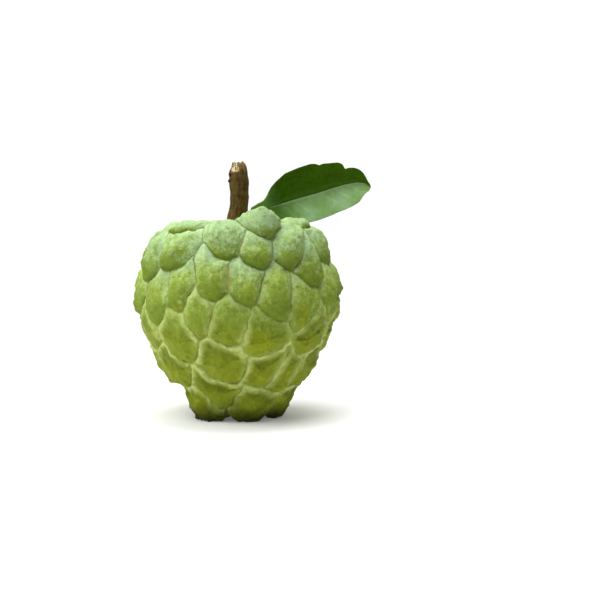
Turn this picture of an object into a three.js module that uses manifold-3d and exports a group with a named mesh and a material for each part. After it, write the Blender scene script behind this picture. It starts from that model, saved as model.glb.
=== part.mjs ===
// A whole custard apple (sugar apple), as picked, with its woody stalk and one small leaf.
// Millimetres, +Z up. The origin is the middle of the flat spot it rests on, and -Y is its front.
import * as THREE from 'three';
import { ConvexHull } from 'three/addons/math/ConvexHull.js';
import { mergeVertices } from 'three/addons/utils/BufferGeometryUtils.js';
import Module from 'manifold-3d';

const wasm = await Module();
wasm.setup();

// ---------- driving dimensions ----------

const fruit = {
	core: 36,             // height of the point that the skin is seen from, for its polar shape
	squash: 0.85,         // flattens the sphere the areoles are shared out on, so that they come out tall
	lean: [0.012, -0.118], // slope of the crown along x and y: it is highest at the front
	crownFrom: 46,        // the slope starts at this height
	crownTo: 68,
	apexDrop: 0.07,       // how far an areole's highest point lies below its middle, on the unit sphere
	rings: [0.42, 0.72, 0.91], // rings of points from an areole's highest point to its furrow
	domePower: 3.6,       // how flat-topped an areole is
	overhang: 0.5,        // how much an areole's lower half stands out past its upper half
	sag: 0.16,            // furrows sag toward the blossom end, by this share of their length across
	borderStep: 3.0,      // length of one step along a furrow
	unevenness: 0.3,      // size of the slow swelling over the whole skin
};

// The outline that the areoles' tops reach, as [radius, height], from the blossom end to the stalk.
const outline = [
	[0, -0.4], [4, 0.2], [8, 0.6], [12.4, -0.3], [16.3, 2], [18, 5], [19.2, 8], [22.2, 11.4], [25.2, 14.8],
	[28, 19.9], [30.8, 25.1], [33.2, 30.2], [34.9, 35.3], [35.7, 42], [34.6, 49], [32.2, 55],
	[29.7, 60.8], [26.1, 65.1], [21.2, 66.5], [16, 66.4], [11, 65.6], [7, 62.5], [4.6, 60.6], [0, 60.2],
];

// Furrow depth against height: shallow round the crown and on the flanks, deeper between the feet.
const furrowDepth = [
	[0, 3.0], [7, 3.0], [14, 1.6], [30, 1.3], [46, 1.6], [56, 2.0], [62, 1.6], [66, 1.3], [80, 1.6],
];

// The areoles of one third of the fruit: [degrees from the front, height, how far it stands proud].
// The other two thirds repeat them, each moved a little by a seeded draw.
const third = [
	[-46, 66.7, 0.3], [18.6, 65.7, 5.7],
	[-69, 57.4, 1.2], [-43, 61, 1.8], [-1.8, 62.8, 0.8], [11.5, 60.4, 0.5], [39.5, 60.8, 2.3],
	[-78, 46, 0.4], [-51, 45.2, 0], [-32.5, 48, 0.1], [-13, 51.4, 0.5], [6.3, 51.2, 0.1], [24, 47, 0.3],
	[-68, 33.2, 0], [-36.5, 33, 0.2], [-20.5, 41.4, 0], [-3.5, 37.4, 0.3], [16, 34, 0.2],
	[-57, 19.4, 0.5], [-7.5, 24, 0.4], [24, 20.5, 0.1], [-83, 17.4, 1.2],
	[-18.5, 11.9, 0], [-46, 3.6, 2.5], [21, 4.6, 0.4],
];
const thirdMove = { turn: 4.5, height: 1.6, proud: 0.9, seed: 7 };
const blossomEnd = [0, -0.4];   // radius and height of the areole under the fruit
const stalkSeat = [0, 60.2];    // the same for the flat spot that the stalk stands on
// Small areoles in a ring round the stalk.
const collar = { count: 5, radius: 9, height: 63.9, from: 20 };

const stalk = {
	// [x, y, z, radius] up the stalk, from its flared foot to its broken end
	line: [
		[-1.0, 0.2, 60.83, 3.5], [-1.0, 0.2, 62.6, 3.6], [-0.9, 0.1, 66, 3.4], [-0.3, 0, 69, 3.25],
		[0.35, 0, 72.5, 3.15], [0.55, 0, 76.5, 3.15], [0.45, 0, 80.5, 3.2], [0.4, 0, 83.9, 3.0],
		[0.4, 0.1, 86.2, 2.4], [0.4, 0.1, 87.4, 1.7],
	],
	sides: 20,
	rings: 26,
	ridges: [[3, 0.045, 0.4], [5, 0.03, 1.9], [8, 0.02, 4.1]], // bark: [count round, size, phase]
	knobs: [ // old bud scars: [height, turn in degrees, how proud, spread up, spread round]
		[83.2, 186, 0.7, 0.6, 0.35], [80.8, 192, 0.8, 0.6, 0.35], [70.5, 40, 0.4, 1.1, 0.5],
	],
	tear: 0.75,           // how ragged the broken end is
	seed: 23,
};

const leaf = {
	thickness: 0.7,
	// the blade as seen from the front, as [x, z]: its midrib and its two edges, from the foot to the tip
	midrib: [
		[4.4, 70.8], [7.5, 70.6], [13.2, 71.9], [20.2, 74], [27.2, 75.9], [36.5, 78.8], [41.2, 79.7],
		[44.1, 79.4], [46.2, 77.8],
	],
	upperEdge: [
		[4.4, 71.5], [6.5, 72.6], [8.5, 73.7], [10, 75.8], [11.2, 78.2], [13.3, 80.7], [16.1, 83.1],
		[20.5, 84.9], [24.8, 86.3], [26.8, 86.3], [27.9, 85.8], [29.3, 86.4], [31.8, 86.6], [34.5, 86.8],
		[36.1, 86.2], [37.1, 84.4], [38.3, 84.8], [40.1, 84.8], [42.8, 84.2], [44.4, 83], [45.2, 80.9],
		[45.8, 79.2], [46.2, 77.8],
	],
	lowerEdge: [
		[4.4, 70.2], [6.8, 69.3], [9.5, 68], [12.9, 66.7], [16.8, 65.6], [20.6, 65.3], [24, 65.6],
		[27.9, 66.6], [31.8, 68], [34.3, 69.1], [37, 70.1], [39, 71], [40.8, 72], [42.2, 72.9],
		[43.5, 74.8], [44.4, 76.3], [45.4, 77.2], [46.2, 77.8],
	],
	// how far back the midrib lies, against x
	setBack: [[4.5, 4.4], [8, 8.5], [14, 13.4], [22, 16.4], [32, 18], [46, 18.5]],
	foldUpper: 26,        // degrees that each half leans forward of the midrib
	foldLower: 30,
	roll: 0.012,          // the edges roll back a little, per millimetre of width
	petiole: [[3.25, 1.9, 66.4], [3.6, 3.0, 68.4], [4.3, 4.2, 70.1], [6.4, 7.1, 70.2], [9, 9.6, 70.4]],
	petioleRadius: 0.8,
	ribRadius: 0.6,       // the midrib stands out of the underside
	across: 5,            // steps from midrib to edge
	along: 40,
};

// ---------- helpers ----------

// A repeatable random number from 0 to 1 for each call.
function seeded(seed) {

	let state = seed >>> 0;
	return () => {

		state = (Math.imul(state, 1664525) + 1013904223) >>> 0;
		return state / 4294967296;

	};

}

// Reads a list of [place, value] pairs, smoothly between its points.
function read(pairs, at) {

	if (at <= pairs[0][0]) return pairs[0][1];
	for (let i = 1; i < pairs.length; i ++) {

		if (at > pairs[i][0]) continue;
		const [x0, y0] = pairs[i - 1];
		const [x1, y1] = pairs[i];
		const share = (at - x0) / (x1 - x0);
		return y0 + (y1 - y0) * share * share * (3 - 2 * share);

	}
	return pairs.at(-1)[1];

}

function solidFrom(positions, faces) {

	return new wasm.Manifold(new wasm.Mesh({
		numProp: 3,
		vertProperties: new Float32Array(positions.flat()),
		triVerts: new Uint32Array(faces.flat()),
	}));

}

function solidFromGeometry(geometry) {

	const bare = geometry.clone();
	bare.deleteAttribute('normal');
	bare.deleteAttribute('uv');
	const merged = mergeVertices(bare, 1e-4);
	return new wasm.Manifold(new wasm.Mesh({
		numProp: 3,
		vertProperties: merged.attributes.position.array,
		triVerts: new Uint32Array(merged.index.array),
	}));

}

function namedMesh(name, solid, material) {

	const { vertProperties, triVerts } = solid.getMesh();
	const geometry = new THREE.BufferGeometry();
	geometry.setAttribute('position', new THREE.BufferAttribute(vertProperties, 3));
	geometry.setIndex(new THREE.BufferAttribute(triVerts, 1));
	geometry.computeVertexNormals();
	const mesh = new THREE.Mesh(geometry, material);
	mesh.name = name;
	return mesh;

}

// ---------- the fruit ----------

const outlineSamples = 600;
const outlinePoints = outline.map(([r, z]) => new THREE.Vector2(r, z - fruit.core));
const skinByAngle = new THREE.SplineCurve(outlinePoints).getPoints(outlineSamples)
	.map((p) => [Math.atan2(Math.max(p.x, 0), p.y), p.length()])
	.sort((a, b) => a[0] - b[0]);

// Distance of the outline from the core, along a ray at that angle from straight up.
function reach(angle) {

	const i = Math.max(1, skinByAngle.findIndex((s) => s[0] >= angle));
	const [a0, r0] = skinByAngle[i - 1];
	const [a1, r1] = skinByAngle[i];
	const share = (angle - a0) / Math.max(a1 - a0, 1e-9);
	return THREE.MathUtils.lerp(r0, r1, THREE.MathUtils.clamp(share, 0, 1));

}

// Slow swelling of the skin, so that no two sides are quite alike.
function swelling(ray) {

	const fromSideToSide = Math.sin(3.1 * ray.x + 1.3);
	const fromFrontToBack = Math.sin(4.3 * ray.y - 0.4) * Math.cos(2.7 * ray.z);
	return fruit.unevenness * (fromSideToSide + fromFrontToBack);

}

// The skin's point on a ray of the squashed sphere, moved out by so many millimetres.
function skinPoint(onSphere, out) {

	const ray = new THREE.Vector3(onSphere.x, onSphere.y, onSphere.z / fruit.squash).normalize();
	const angle = Math.acos(THREE.MathUtils.clamp(ray.z, -1, 1));
	const point = ray.clone().multiplyScalar(reach(angle) + swelling(ray) * Math.sin(angle) + out);
	point.z += fruit.core;
	const slope = fruit.lean[0] * point.x + fruit.lean[1] * point.y;
	point.z += slope * THREE.MathUtils.smoothstep(point.z, fruit.crownFrom, fruit.crownTo);
	return point;

}

function sphereSite(turnDegrees, radius, height) {

	const turn = THREE.MathUtils.degToRad(turnDegrees);
	return new THREE.Vector3(
		Math.sin(turn) * radius, - Math.cos(turn) * radius, (height - fruit.core) * fruit.squash,
	).normalize();

}

// Radius of the outline at a height, outside the crown's crest.
function radiusAt(height) {

	const crest = outline.findIndex(([, z]) => z > 66);
	const flank = outline.slice(4, crest + 1).map(([r, z]) => [z, r]);
	const [crestHeight, crestRadius] = flank.at(-1);
	if (height > crestHeight) return crestRadius - 2.2 * (height - crestHeight);
	return read(flank, height);

}

function makeSites() {

	const random = seeded(thirdMove.seed);
	const spread = (size) => (2 * random() - 1) * size;
	const sites = [];
	for (let part = 0; part < 3; part ++) {

		for (const [turn, height, proud] of third) {

			const own = part === 0;
			const atTurn = turn + 120 * part + (own ? 0 : spread(thirdMove.turn));
			const atHeight = height + (own ? 0 : spread(thirdMove.height));
			const stands = own ? proud : random() * thirdMove.proud;
			sites.push({ at: sphereSite(atTurn, radiusAt(atHeight), atHeight), proud: stands });

		}

	}
	for (let i = 0; i < collar.count; i ++) {

		const turn = collar.from + 360 * i / collar.count + spread(8);
		sites.push({ at: sphereSite(turn, collar.radius, collar.height), proud: random() * 0.5 });

	}
	sites.push({ at: sphereSite(0, ...blossomEnd), proud: 0 });
	sites.push({ at: sphereSite(0, ...stalkSeat), proud: 0, seat: true });
	return sites;

}

// Shares the sphere out among the sites. Each areole's corners are the dual of the sites' convex hull.
function areoleCorners(sites) {

	const points = sites.map((s) => s.at);
	const number = new Map(points.map((p, i) => [p, i]));
	const corners = [];
	const byPair = new Map(); // 'a>b' for each directed side of the hull's triangles: its corner
	for (const face of new ConvexHull().setFromPoints(points).faces) {

		corners.push(face.normal.clone());
		let edge = face.edge;
		do {

			byPair.set(number.get(edge.tail().point) + '>' + number.get(edge.head().point), corners.length - 1);
			edge = edge.next;

		} while (edge !== face.edge);

	}
	return { corners, byPair };

}

// Walks round one site and lists its neighbours, with the two corners of the furrow shared with each.
function sidesOf(site, byPair) {

	const onward = new Map();
	for (const [pair, corner] of byPair) {

		const [from, to] = pair.split('>').map(Number);
		if (from === site) onward.set(to, { neighbour: to, start: byPair.get(to + '>' + from), end: corner });

	}
	const byStart = new Map([...onward.values()].map((s) => [s.start, s]));
	const first = onward.values().next().value;
	const sides = [];
	for (let side = first; sides.length < onward.size; side = byStart.get(side.end)) sides.push(side);
	return sides;

}

// Which way the blossom end lies along the sphere, fading out close to either end.
function towardBlossomEnd(ray) {

	const flat = Math.hypot(ray.x, ray.y);
	const way = new THREE.Vector3(ray.x / flat * ray.z, ray.y / flat * ray.z, - flat);
	return way.multiplyScalar(Math.min(1, flat / 0.25));

}

function makeFruit() {

	const sites = makeSites();
	const { corners, byPair } = areoleCorners(sites);
	const positions = [];
	const faces = [];
	const addPoint = (p) => positions.push([p.x, p.y, p.z]) - 1;
	const depthAt = (onSphere) => read(furrowDepth, skinPoint(onSphere, 0).z);

	// The furrows: their corners and the steps between, each made once and shared by its areoles.
	const cornerPoint = corners.map((ray) => {

		const depth = depthAt(ray) * 1.08;
		return { id: addPoint(skinPoint(ray, - depth)), ray, depth };

	});
	const furrows = new Map();
	function furrow(side, site) {

		const key = Math.min(site, side.neighbour) + '-' + Math.max(site, side.neighbour);
		if (! furrows.has(key)) {

			const a = cornerPoint[side.start];
			const b = cornerPoint[side.end];
			const length = a.ray.angleTo(b.ray) * fruit.core;
			const steps = Math.max(1, Math.round(length / fruit.borderStep));
			const between = [];
			const across = Math.hypot(b.ray.x - a.ray.x, b.ray.y - a.ray.y);
			for (let i = 1; i < steps; i ++) {

				const ray = a.ray.clone().lerp(b.ray, i / steps).normalize();
				ray.addScaledVector(towardBlossomEnd(ray), fruit.sag * across * 4 * (i / steps) * (1 - i / steps));
				ray.normalize();
				const depth = depthAt(ray);
				between.push({ id: addPoint(skinPoint(ray, - depth)), ray, depth });

			}
			furrows.set(key, { from: side.start, between });

		}
		const { from, between } = furrows.get(key);
		return [cornerPoint[side.start], ...(from === side.start ? between : [...between].reverse())];

	}

	sites.forEach((site, number) => {

		const border = sidesOf(number, byPair).flatMap((side) => furrow(side, number));
		// an areole's highest point is a little below its middle
		const middle = border.reduce((sum, b) => sum.add(b.ray), new THREE.Vector3()).normalize();
		const drop = site.seat ? 0 : fruit.apexDrop * Math.sqrt(Math.max(0, 1 - middle.z * middle.z));
		const apex = middle.clone().add(new THREE.Vector3(0, 0, - drop)).normalize();
		const ringIds = fruit.rings.map((share) => border.map((b) => {

			const ray = apex.clone().lerp(b.ray, share).normalize();
			const below = (apex.z - ray.z) * fruit.core / 8;
			const proud = site.proud * (1 - share * share) ** 1.3 + fruit.overhang * below * (1 - share ** 4);
			const sunk = site.seat ? b.depth * Math.min(1, share * 0.2) : b.depth * share ** fruit.domePower;
			return addPoint(skinPoint(ray, proud - sunk));

		}));
		const top = addPoint(skinPoint(apex, site.proud));
		const rows = [...ringIds, border.map((b) => b.id)];
		border.forEach((_, i) => {

			const next = (i + 1) % border.length;
			faces.push([top, rows[0][i], rows[0][next]]);
			for (let k = 1; k < rows.length; k ++) {

				faces.push([rows[k - 1][i], rows[k][i], rows[k][next]]);
				faces.push([rows[k - 1][i], rows[k][next], rows[k - 1][next]]);

			}

		});

	});

	// The fruit's own weight leaves a flat spot under each of its lowest areoles.
	const ground = new THREE.BoxGeometry(100, 100, 20).translate(0, 0, - 10);
	const grown = solidFrom(positions, faces);
	return grown.subtract(solidFromGeometry(ground));

}

// ---------- the stalk ----------

// Rings of points skinned into one closed body, with a point at each end.
function loft(rings, foot, tip) {

	const sides = rings[0].length;
	const positions = [foot, ...rings.flat(), tip];
	const at = (ring, side) => 1 + ring * sides + (side % sides);
	const faces = [];
	for (let side = 0; side < sides; side ++) {

		faces.push([0, at(0, side + 1), at(0, side)]);
		faces.push([positions.length - 1, at(rings.length - 1, side), at(rings.length - 1, side + 1)]);
		for (let ring = 1; ring < rings.length; ring ++) {

			faces.push([at(ring - 1, side), at(ring - 1, side + 1), at(ring, side + 1)]);
			faces.push([at(ring - 1, side), at(ring, side + 1), at(ring, side)]);

		}

	}
	return solidFrom(positions, faces);

}

function makeStalk() {

	const random = seeded(stalk.seed);
	const curve = new THREE.CatmullRomCurve3(stalk.line.map(([x, y, z]) => new THREE.Vector3(x, y, z)));
	const radii = stalk.line.map(([, , z, radius]) => [z, radius]);
	const tears = Array.from({ length: stalk.sides }, () => random() * stalk.tear);
	const rings = [];
	for (let ring = 0; ring < stalk.rings; ring ++) {

		const share = ring / (stalk.rings - 1);
		const centre = curve.getPointAt(share);
		const points = [];
		for (let side = 0; side < stalk.sides; side ++) {

			const turn = 2 * Math.PI * side / stalk.sides;
			let radius = read(radii, centre.z);
			for (const [count, size, phase] of stalk.ridges) {

				radius *= 1 + size * Math.sin(count * turn + phase + 2 * share);

			}
			for (const [height, knobTurn, proud, up, round] of stalk.knobs) {

				const past = turn - THREE.MathUtils.degToRad(knobTurn) + Math.PI;
				const away = Math.abs(THREE.MathUtils.euclideanModulo(past, 2 * Math.PI) - Math.PI);
				radius += proud * Math.exp(- (((centre.z - height) / up) ** 2) - (away / round) ** 2);

			}
			const torn = share > 0.86 ? tears[side] * (share - 0.86) / 0.14 : 0;
			const [x, y] = [centre.x + radius * Math.cos(turn), centre.y + radius * Math.sin(turn)];
			points.push([x, y, centre.z - torn]);

		}
		rings.push(points);

	}
	const foot = curve.getPointAt(0);
	const tip = curve.getPointAt(1);
	return loft(rings, [foot.x, foot.y, foot.z], [tip.x, tip.y, tip.z - 0.9]);

}

// ---------- the leaf ----------

// The x and z of a line of the blade at a share of its length, from its foot to its tip.
function lineOf(points) {

	const curve = new THREE.CurvePath();
	for (let i = 1; i < points.length; i ++) {

		curve.add(new THREE.LineCurve(new THREE.Vector2(...points[i - 1]), new THREE.Vector2(...points[i])));

	}
	return (share) => curve.getPointAt(share);

}

function bladeLines() {

	return { midrib: lineOf(leaf.midrib), upper: lineOf(leaf.upperEdge), lower: lineOf(leaf.lowerEdge) };

}

// A point of the blade's middle surface. across runs from -1 at the lower edge to 1 at the upper one.
function bladePoint(lines, share, across) {

	const rib = lines.midrib(share);
	const edge = across >= 0 ? lines.upper(share) : lines.lower(share);
	const fold = THREE.MathUtils.degToRad(across >= 0 ? leaf.foldUpper : leaf.foldLower);
	const width = rib.distanceTo(edge) * Math.abs(across);
	const forward = width * Math.tan(fold) * (1 - leaf.roll * width * 1.5);
	const flat = rib.clone().lerp(edge, Math.abs(across));
	return new THREE.Vector3(flat.x, read(leaf.setBack, rib.x) - forward, flat.y);

}

function makeLeaf() {

	const lines = bladeLines();
	const columns = 2 * leaf.across + 1;
	const step = 5e-3;
	const fronts = [];
	const backs = [];
	for (let i = 0; i <= leaf.along; i ++) {

		const share = i / leaf.along;
		const inside = THREE.MathUtils.clamp(share, 0.02, 0.98);
		for (let j = 0; j < columns; j ++) {

			const across = j / leaf.across - 1;
			const p = bladePoint(lines, share, across);
			const sideways = bladePoint(lines, inside, Math.min(1, across + 0.08))
				.sub(bladePoint(lines, inside, Math.max(-1, across - 0.08)));
			const lengthways = bladePoint(lines, inside + step, across)
				.sub(bladePoint(lines, inside - step, across));
			const normal = new THREE.Vector3().crossVectors(lengthways, sideways).normalize();
			if (normal.y > 0) normal.negate();
			const front = p.clone().addScaledVector(normal, leaf.thickness / 2);
			const back = p.clone().addScaledVector(normal, - leaf.thickness / 2);
			fronts.push([front.x, front.y, front.z]);
			backs.push([back.x, back.y, back.z]);

		}

	}

	// Front and back are split into triangles alike, and joined round the edge.
	const positions = [...fronts, ...backs];
	const behind = fronts.length;
	const at = (i, j) => i * columns + j;
	const faces = [];
	const quad = (a, b, c, d) => faces.push([a, b, c], [a, c, d]);
	for (let i = 0; i < leaf.along; i ++) {

		for (let j = 0; j < columns - 1; j ++) {

			const [a, b, c, d] = [at(i, j), at(i + 1, j), at(i + 1, j + 1), at(i, j + 1)];
			quad(a, b, c, d);
			faces.push([a + behind, c + behind, b + behind], [a + behind, d + behind, c + behind]);

		}
		const low = [at(i, 0), at(i + 1, 0)];
		const high = [at(i, columns - 1), at(i + 1, columns - 1)];
		quad(low[0], low[0] + behind, low[1] + behind, low[1]);
		quad(high[1], high[1] + behind, high[0] + behind, high[0]);

	}
	for (let j = 0; j < columns - 1; j ++) {

		const foot = [at(0, j), at(0, j + 1)];
		const tip = [at(leaf.along, j), at(leaf.along, j + 1)];
		quad(foot[1], foot[1] + behind, foot[0] + behind, foot[0]);
		quad(tip[0], tip[0] + behind, tip[1] + behind, tip[1]);

	}
	const blade = solidFrom(positions, faces);
	return blade.add(taperedStem(leaf.petiole, leaf.petioleRadius, leaf.petioleRadius * 0.8, 10))
		.add(taperedStem(ribLine(lines), leaf.ribRadius, leaf.ribRadius * 0.55, 22));

}

// The midrib's own line lies half out of the back of the blade.
function ribLine(lines) {

	const shares = [0.04, 0.2, 0.4, 0.6, 0.8, 0.93];
	return shares.map((share) => {

		const p = bladePoint(lines, share, 0);
		return [p.x, p.y + leaf.thickness * 0.5, p.z];

	});

}

function taperedStem(line, startRadius, endRadius, steps) {

	const curve = new THREE.CatmullRomCurve3(line.map((p) => new THREE.Vector3(...p)));
	const sides = 8;
	const { normals, binormals } = curve.computeFrenetFrames(steps, false);
	const rings = [];
	for (let i = 0; i <= steps; i ++) {

		const centre = curve.getPointAt(i / steps);
		const radius = THREE.MathUtils.lerp(startRadius, endRadius, i / steps);
		rings.push(Array.from({ length: sides }, (_, side) => {

			const turn = 2 * Math.PI * side / sides;
			const p = centre.clone()
				.addScaledVector(normals[i], radius * Math.cos(turn))
				.addScaledVector(binormals[i], radius * Math.sin(turn));
			return [p.x, p.y, p.z];

		}));

	}
	return loft(rings, line[0], line.at(-1));

}

// ---------- the whole ----------

const skinMaterial = new THREE.MeshStandardMaterial({ color: 0x95ad62, roughness: 0.62, metalness: 0 });
const barkMaterial = new THREE.MeshStandardMaterial({ color: 0x5a4626, roughness: 0.85, metalness: 0 });
const leafMaterial = new THREE.MeshStandardMaterial({ color: 0x3a6a1e, roughness: 0.42, metalness: 0 });

const custardApple = new THREE.Group();
custardApple.add(
	namedMesh('fruit', makeFruit(), skinMaterial),
	namedMesh('stalk', makeStalk(), barkMaterial),
	namedMesh('leaf', makeLeaf(), leafMaterial),
);

export default custardApple;
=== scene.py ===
import math
import random

import bmesh
import bpy
import numpy as np
from mathutils import Euler, Matrix, Vector, kdtree


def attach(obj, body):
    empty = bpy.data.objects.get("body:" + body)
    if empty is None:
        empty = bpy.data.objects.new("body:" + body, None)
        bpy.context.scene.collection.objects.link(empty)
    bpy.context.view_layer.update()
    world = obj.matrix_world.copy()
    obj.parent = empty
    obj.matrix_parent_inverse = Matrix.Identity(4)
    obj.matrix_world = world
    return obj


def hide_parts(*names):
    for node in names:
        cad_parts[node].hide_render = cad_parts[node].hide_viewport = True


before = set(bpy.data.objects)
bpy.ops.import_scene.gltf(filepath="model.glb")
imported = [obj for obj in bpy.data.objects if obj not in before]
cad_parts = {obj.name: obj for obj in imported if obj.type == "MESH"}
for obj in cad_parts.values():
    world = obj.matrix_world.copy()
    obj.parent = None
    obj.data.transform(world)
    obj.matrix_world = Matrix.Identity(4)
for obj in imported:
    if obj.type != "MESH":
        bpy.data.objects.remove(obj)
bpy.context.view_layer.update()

scene = bpy.context.scene
mm = 0.001
tiny = 1e-8                    # keeps a division by nothing from failing

studio = {
    "aim": (0.0213, 0.0, 0.0400),
    "distance": 0.573,
    "elevation": 6.5,          # degrees above the floor
    "lens": 100,
    "lampAim": (0, 0, 0.04),
    "roomLight": 0.3,          # from all round
    "backdrop": 1.05,
    "floorShade": 0.9,
    "floorGlow": 0.12,
    "floorEdge": (0.09, 0.2),  # the floor melts into the backdrop between these distances
    "softboxes": {             # place, size across and up, watts
        "key": ((-0.34, -0.34, 0.66), 0.6, 0.6, 3.75),
        "side": ((-0.72, 0.0, 0.2), 0.4, 0.5, 2.3),
        "top": ((0.04, 0.08, 0.8), 0.55, 0.55, 5.2),
        "fill": ((0.62, -0.6, 0.34), 0.45, 0.45, 0.5),
        "back": ((-0.1, 0.7, 0.45), 0.5, 0.4, 1.4),
    },
}


def placeCamera():
    data = bpy.data.cameras.new("camera")
    data.lens = studio["lens"]
    data.sensor_width = 36
    data.clip_start = 0.01
    camera = bpy.data.objects.new("camera", data)
    scene.collection.objects.link(camera)
    tilt = math.radians(studio["elevation"])
    back = Vector((0, -math.cos(tilt), math.sin(tilt)))
    camera.location = Vector(studio["aim"]) + back * studio["distance"]
    camera.rotation_euler = back.to_track_quat("Z", "Y").to_euler()
    scene.camera = camera


def placeLights():
    for name, (place, across, up, watts) in studio["softboxes"].items():
        data = bpy.data.lights.new(name + "Box", "AREA")
        data.shape = "RECTANGLE"
        data.size = across
        data.size_y = up
        data.energy = watts
        lamp = bpy.data.objects.new(name + "Box", data)
        scene.collection.objects.link(lamp)
        lamp.location = place
        lamp.rotation_euler = (Vector(place) - Vector(studio["lampAim"])).to_track_quat("Z", "Y").to_euler()
    world = bpy.data.worlds.new("room")
    world.use_nodes = True
    scene.world = world
    nodes, links = world.node_tree.nodes, world.node_tree.links
    seen = nodes.new("ShaderNodeLightPath")      # the backdrop stays white, however dim the room is
    strength = nodes.new("ShaderNodeMapRange")
    strength.inputs["To Min"].default_value = studio["roomLight"]
    strength.inputs["To Max"].default_value = studio["backdrop"]
    links.new(seen.outputs["Is Camera Ray"], strength.inputs["Value"])
    nodes["Background"].inputs["Color"].default_value = (1, 1, 1, 1)
    links.new(strength.outputs["Result"], nodes["Background"].inputs["Strength"])
    scene.view_settings.view_transform = "Standard"


class Value:
    # a socket that can be used in ordinary sums
    def __init__(self, shader, socket):
        self.shader = shader
        self.socket = socket

    def maths(self, operation, a, b):
        return self.shader.node("ShaderNodeMath", {"operation": operation}, {0: a, 1: b})

    def __add__(self, other):
        return self.maths("ADD", self, other)

    __radd__ = __add__

    def __sub__(self, other):
        return self.maths("SUBTRACT", self, other)

    def __rsub__(self, other):
        return self.maths("SUBTRACT", other, self)

    def __mul__(self, other):
        return self.maths("MULTIPLY", self, other)

    __rmul__ = __mul__


class Shader:
    def __init__(self, name, roughness=0.5, specular=0.5):
        self.material = bpy.data.materials.new(name)
        self.material.use_nodes = True
        self.tree = self.material.node_tree
        self.surface = self.tree.nodes["Principled BSDF"]
        self.surface.inputs["Roughness"].default_value = roughness
        self.surface.inputs["Specular IOR Level"].default_value = specular

    def node(self, kind, settings=None, sockets=None, out=0):
        made = self.tree.nodes.new(kind)
        for key, value in (settings or {}).items():
            setattr(made, key, value)
        for key, value in (sockets or {}).items():
            if isinstance(value, Value):
                self.tree.links.new(value.socket, made.inputs[key])
            else:
                made.inputs[key].default_value = value
        return Value(self, made.outputs[out])

    def place(self):
        return self.node("ShaderNodeTexCoord", out="Object")

    def part(self, place, axis):
        return self.node("ShaderNodeSeparateXYZ", {}, {0: place}, out=axis)

    def stretched(self, place, scale):
        return self.node("ShaderNodeMapping", {}, {"Vector": place, "Scale": scale})

    def attribute(self, name):
        return self.node("ShaderNodeAttribute", {"attribute_name": name}, out="Fac")

    def noise(self, place, scale, detail=2.0, rough=0.5, warp=0.0):
        return self.node("ShaderNodeTexNoise", {}, {"Vector": place, "Scale": scale, "Detail": detail,
                                                   "Roughness": rough, "Distortion": warp})

    def ramp(self, value, low, high):
        # 0 up to low, 1 from high on, and smooth between
        return self.node("ShaderNodeMapRange", {"interpolation_type": "SMOOTHSTEP"},
                         {"Value": value, "From Min": low, "From Max": high})

    def fade(self, value, low, high):
        # 1 up to low, 0 from high on
        return 1.0 - self.ramp(value, low, high)

    def absolute(self, value):
        return self.node("ShaderNodeMath", {"operation": "ABSOLUTE"}, {0: value})

    def mix(self, share, a, b, blend="MIX"):
        return self.node("ShaderNodeMix", {"data_type": "RGBA", "blend_type": blend},
                         {0: share, 6: a, 7: b}, out=2)

    def bump(self, height, strength, distance):
        return self.node("ShaderNodeBump", {}, {"Height": height, "Strength": strength, "Distance": distance})

    def finish(self, **sockets):
        for name, value in sockets.items():
            target = self.surface.inputs[name.replace("_", " ")]
            if isinstance(value, Value):
                self.tree.links.new(value.socket, target)
            else:
                target.default_value = value
        return self.material


def rgb(red, green, blue):
    # from the 0 to 255 of a colour picker to a shader's linear colour
    def linear(c):
        return ((c / 255 + 0.055) / 1.055) ** 2.4 if c > 10 else c / 3295
    return linear(red), linear(green), linear(blue), 1


def selectOnly(piece):
    bpy.ops.object.select_all(action="DESELECT")
    piece.select_set(True)
    bpy.context.view_layer.objects.active = piece


def applyModifier(piece, name, kind, **settings):
    selectOnly(piece)
    modifier = piece.modifiers.new(name, kind)
    for key, value in settings.items():
        setattr(modifier, key, value)
    bpy.ops.object.modifier_apply(modifier=name)


def copyOfNode(name, pieceName):
    # the solid's own mesh stays as it is, and its copy is merged into one skin
    piece = bpy.data.objects.new(pieceName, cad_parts[name].data.copy())
    piece.data.materials.clear()
    scene.collection.objects.link(piece)
    selectOnly(piece)
    bpy.ops.object.mode_set(mode="EDIT")
    bpy.ops.mesh.select_all(action="SELECT")
    bpy.ops.mesh.remove_doubles(threshold=2e-6)
    bpy.ops.mesh.tris_convert_to_quads(face_threshold=math.radians(60), shape_threshold=math.radians(70))
    bpy.ops.mesh.select_all(action="DESELECT")
    bpy.ops.object.mode_set(mode="OBJECT")
    return piece


def pointsOf(piece):
    flat = np.empty(len(piece.data.vertices) * 3)
    piece.data.vertices.foreach_get("co", flat)
    return flat.reshape(-1, 3)


def setPoints(piece, points):
    piece.data.vertices.foreach_set("co", points.astype(np.float32).ravel())
    piece.data.update()


def storeAttribute(piece, name, values):
    attribute = piece.data.attributes.get(name) or piece.data.attributes.new(name, "FLOAT", "POINT")
    attribute.data.foreach_set("value", np.asarray(values, dtype=np.float32))


def readAttribute(piece, name):
    values = np.empty(len(piece.data.vertices))
    piece.data.attributes[name].data.foreach_get("value", values)
    return values


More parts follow.
